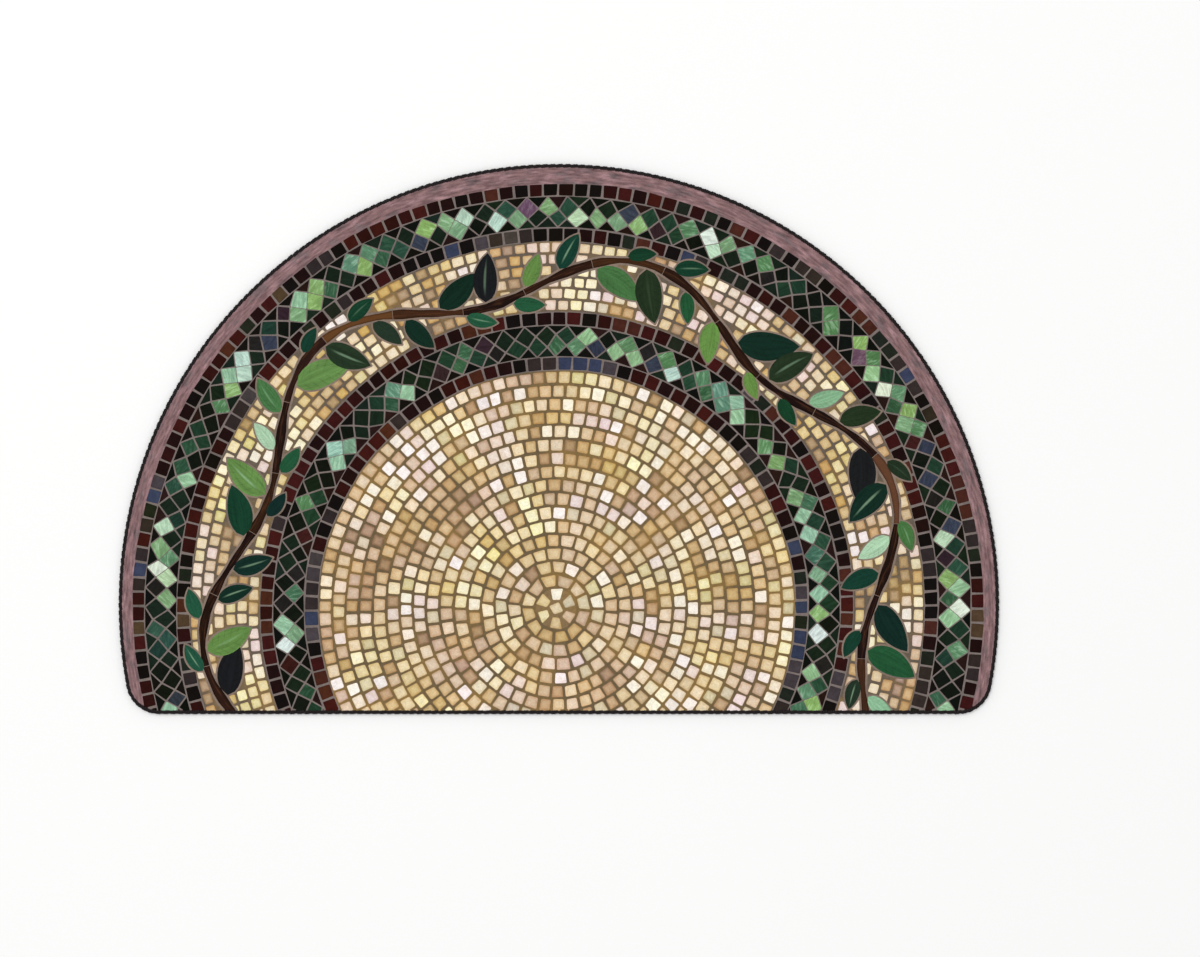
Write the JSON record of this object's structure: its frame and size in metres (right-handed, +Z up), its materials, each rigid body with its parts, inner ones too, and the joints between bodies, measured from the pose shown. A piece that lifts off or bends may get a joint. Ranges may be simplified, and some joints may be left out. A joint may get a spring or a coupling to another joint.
{
  "type": "half-round doormat",
  "caption": "Flat half-round doormat of thick printed cloth, straight along one side, with rounded corners and a yarn-overcast rim.",
  "frame": {"origin": "on the floor, under the middle of the mat's length and width", "axes": "+X along the straight edge, +Y from the straight edge towards the round side, +Z up"},
  "size_m": [0.99, 0.6188, 0.0066],
  "materials": {
    "printed_cloth": "matt printed cloth with a short dense pile: cream and honey mosaic squares, dark green and maroon bands and a leafy vine",
    "edging_yarn": "matt black overcast yarn"
  },
  "bodies": {
    "root": {"printed_mat": "printed_cloth", "yarn_edging": "edging_yarn"}
  },
  "joints": []
}
